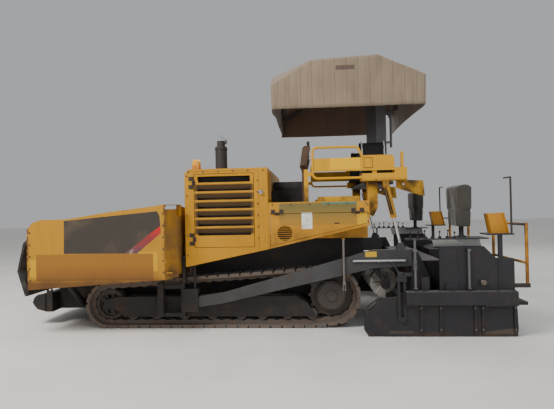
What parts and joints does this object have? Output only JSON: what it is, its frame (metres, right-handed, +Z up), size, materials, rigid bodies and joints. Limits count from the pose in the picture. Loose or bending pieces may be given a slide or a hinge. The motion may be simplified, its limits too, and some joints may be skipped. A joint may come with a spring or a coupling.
{
  "type": "asphalt paver on tracks",
  "caption": "Tracked asphalt paver with folding hopper wings, slat conveyor, louvred engine hood, canvas canopy, tow arms, augers and an extending screed.",
  "frame": {"origin": "on the ground, under the middle of the whole machine's length and width", "axes": "+X forward to the hopper, +Y to the machine's left, +Z up"},
  "size_m": [6.79, 3.2, 3.6608],
  "materials": {
    "yellow_paint": "weathered satin paint",
    "hopper_paint": "weathered satin paint with rust",
    "dark_paint": "matt, dusty, asphalt-stained",
    "grey_paint": "matt, dusty",
    "deck_plate": "chequered, worn",
    "worn_steel": "worn bright",
    "rod_chrome": "polished",
    "track_rubber": "matt, dusty",
    "apron_rubber": "matt",
    "black_plastic": "matt",
    "seat_vinyl": "soft vinyl",
    "canopy_canvas": "tan canvas, faded",
    "cover_canvas": "khaki canvas",
    "console_brown": "faded",
    "stack_iron": "heat-stained",
    "beacon_amber": "translucent amber",
    "engine_iron": "oily",
    "radiator_core": "dark fins"
  },
  "bodies": {
    "tractor": {"main_frame": "dark_paint", "engine_bed": "dark_paint", "hopper_floor": "hopper_paint", "conveyor": "worn_steel", "push_beam": "dark_paint", "hopper_apron": "apron_rubber", "track_frames": "dark_paint", "track_left": "track_rubber", "track_right": "track_rubber", "running_gear": "dark_paint", "engine_block": "engine_iron", "radiators": "radiator_core", "hood": "yellow_paint", "side_panels": "yellow_paint", "deck_floor": "deck_plate", "guard_rails": "yellow_paint", "console": "console_brown", "seat": "seat_vinyl", "tanks": "yellow_paint", "canopy_mast": "black_plastic", "canopy_cover": "canopy_canvas", "exhaust_stack": "stack_iron", "air_cleaner": "black_plastic", "beacon": "beacon_amber", "tow_guides": "dark_paint", "auger_frame": "dark_paint"},
    "exhaust_cap": {"rain_cap": "stack_iron"},
    "screed": {"tow_arms": "grey_paint", "screed_box": "dark_paint"},
    "hopper_wing_left": {"wing_left": "hopper_paint", "wing_flap_left": "apron_rubber"},
    "truck_roller_left": {"push_roller_left": "dark_paint"},
    "wing_ram_left": {"wing_barrel_left": "dark_paint"},
    "wing_ram_rod_left": {"wing_rod_left": "rod_chrome"},
    "grille_door_left": {"louvre_door_left": "yellow_paint"},
    "service_door_left": {"side_door_left": "yellow_paint"},
    "spreading_auger_left": {"auger_left": "worn_steel"},
    "lift_ram_left": {"lift_barrel_left": "yellow_paint"},
    "lift_ram_rod_left": {"lift_rod_left": "rod_chrome"},
    "screed_extension_left": {"extension_left": "dark_paint", "end_gate_left": "dark_paint", "rear_rail_left": "yellow_paint", "control_cover_left": "cover_canvas"},
    "hopper_wing_right": {"wing_right": "hopper_paint", "wing_flap_right": "apron_rubber"},
    "truck_roller_right": {"push_roller_right": "dark_paint"},
    "wing_ram_right": {"wing_barrel_right": "dark_paint"},
    "wing_ram_rod_right": {"wing_rod_right": "rod_chrome"},
    "grille_door_right": {"louvre_door_right": "yellow_paint"},
    "service_door_right": {"side_door_right": "yellow_paint"},
    "spreading_auger_right": {"auger_right": "worn_steel"},
    "lift_ram_right": {"lift_barrel_right": "yellow_paint"},
    "lift_ram_rod_right": {"lift_rod_right": "rod_chrome"},
    "screed_extension_right": {"extension_right": "dark_paint", "end_gate_right": "dark_paint", "rear_rail_right": "yellow_paint", "control_cover_right": "cover_canvas"}
  },
  "joints": [
    {"name": "screed_lift", "type": "hinge", "parent": "tractor", "child": "screed", "pos_m": [0.9, 0, 0.366], "axis": [0, 1, 0], "range_deg": [0, 6]},
    {"name": "rain_cap_hinge", "type": "hinge", "parent": "tractor", "child": "exhaust_cap", "pos_m": [0.646, -0.25, 2.8], "axis": [0, 1, 0], "range_deg": [-45, 30]},
    {"name": "wing_fold_left", "type": "hinge", "parent": "tractor", "child": "hopper_wing_left", "pos_m": [2, 0.72, 0.74], "axis": [1, 0, 0], "range_deg": [0, 45]},
    {"name": "push_roller_spin_left", "type": "hinge", "parent": "tractor", "child": "truck_roller_left", "pos_m": [3.27, 0.505, 0.33], "axis": [0, 1, 0], "continuous": true},
    {"name": "wing_ram_swing_left", "type": "hinge", "parent": "tractor", "child": "wing_ram_left", "pos_m": [2.64, 0.78, 0.29], "axis": [1, 0, 0], "range_deg": [0, 25.6]},
    {"name": "wing_ram_stroke_left", "type": "slide", "parent": "wing_ram_left", "child": "wing_ram_rod_left", "axis": [0, 0.7536, 0.6574], "range_m": [0, 0.24352]},
    {"name": "grille_door_hinge_left", "type": "hinge", "parent": "tractor", "child": "grille_door_left", "pos_m": [0.838, 1.232, 1.6], "axis": [0, 0, -1], "range_deg": [0, 90]},
    {"name": "service_door_hinge_left", "type": "hinge", "parent": "tractor", "child": "service_door_left", "pos_m": [-0.855, 1.232, 1.57], "axis": [1, 0, 0], "range_deg": [0, 80]},
    {"name": "auger_spin_left", "type": "hinge", "parent": "tractor", "child": "spreading_auger_left", "pos_m": [-1.735, 0.58, 0.59], "axis": [0, 1, 0], "continuous": true},
    {"name": "lift_ram_swing_left", "type": "hinge", "parent": "tractor", "child": "lift_ram_left", "pos_m": [-1.758, 1.149, 1.93], "axis": [0, 1, 0], "range_deg": [-3.37, 0]},
    {"name": "lift_ram_stroke_left", "type": "slide", "parent": "lift_ram_left", "child": "lift_ram_rod_left", "axis": [-0.2053, 0, -0.9787], "range_m": [-0.30375, 0]},
    {"name": "extension_slide_left", "type": "slide", "parent": "screed", "child": "screed_extension_left", "axis": [0, 1, 0], "range_m": [-0.25, 0.6]},
    {"name": "wing_fold_right", "type": "hinge", "parent": "tractor", "child": "hopper_wing_right", "pos_m": [2, -0.72, 0.74], "axis": [-1, 0, 0], "range_deg": [0, 45]},
    {"name": "push_roller_spin_right", "type": "hinge", "parent": "tractor", "child": "truck_roller_right", "pos_m": [3.27, -0.505, 0.33], "axis": [0, 1, 0], "continuous": true},
    {"name": "wing_ram_swing_right", "type": "hinge", "parent": "tractor", "child": "wing_ram_right", "pos_m": [2.64, -0.78, 0.29], "axis": [-1, 0, 0], "range_deg": [0, 25.6]},
    {"name": "wing_ram_stroke_right", "type": "slide", "parent": "wing_ram_right", "child": "wing_ram_rod_right", "axis": [0, -0.7536, 0.6574], "range_m": [0, 0.24352]},
    {"name": "grille_door_hinge_right", "type": "hinge", "parent": "tractor", "child": "grille_door_right", "pos_m": [0.838, -1.232, 1.6], "axis": [0, 0, 1], "range_deg": [0, 90]},
    {"name": "service_door_hinge_right", "type": "hinge", "parent": "tractor", "child": "service_door_right", "pos_m": [-0.855, -1.232, 1.57], "axis": [-1, 0, 0], "range_deg": [0, 80]},
    {"name": "auger_spin_right", "type": "hinge", "parent": "tractor", "child": "spreading_auger_right", "pos_m": [-1.735, -0.58, 0.59], "axis": [0, 1, 0], "continuous": true},
    {"name": "lift_ram_swing_right", "type": "hinge", "parent": "tractor", "child": "lift_ram_right", "pos_m": [-1.758, -1.149, 1.93], "axis": [0, 1, 0], "range_deg": [-3.37, 0]},
    {"name": "lift_ram_stroke_right", "type": "slide", "parent": "lift_ram_right", "child": "lift_ram_rod_right", "axis": [-0.2053, 0, -0.9787], "range_m": [-0.30375, 0]},
    {"name": "extension_slide_right", "type": "slide", "parent": "screed", "child": "screed_extension_right", "axis": [0, -1, 0], "range_m": [-0.25, 0.6]}
  ],
  "couplings": [
    {"joint": "wing_ram_swing_left", "follows": "wing_fold_left", "ratio": 0.56886},
    {"joint": "wing_ram_stroke_left", "follows": "wing_fold_left", "m_per_rad": 0.31006},
    {"joint": "lift_ram_swing_left", "follows": "screed_lift", "ratio": -0.56164},
    {"joint": "lift_ram_stroke_left", "follows": "screed_lift", "m_per_rad": -2.9006},
    {"joint": "wing_ram_swing_right", "follows": "wing_fold_right", "ratio": 0.56886},
    {"joint": "wing_ram_stroke_right", "follows": "wing_fold_right", "m_per_rad": 0.31006},
    {"joint": "lift_ram_swing_right", "follows": "screed_lift", "ratio": -0.56164},
    {"joint": "lift_ram_stroke_right", "follows": "screed_lift", "m_per_rad": -2.9006}
  ]
}
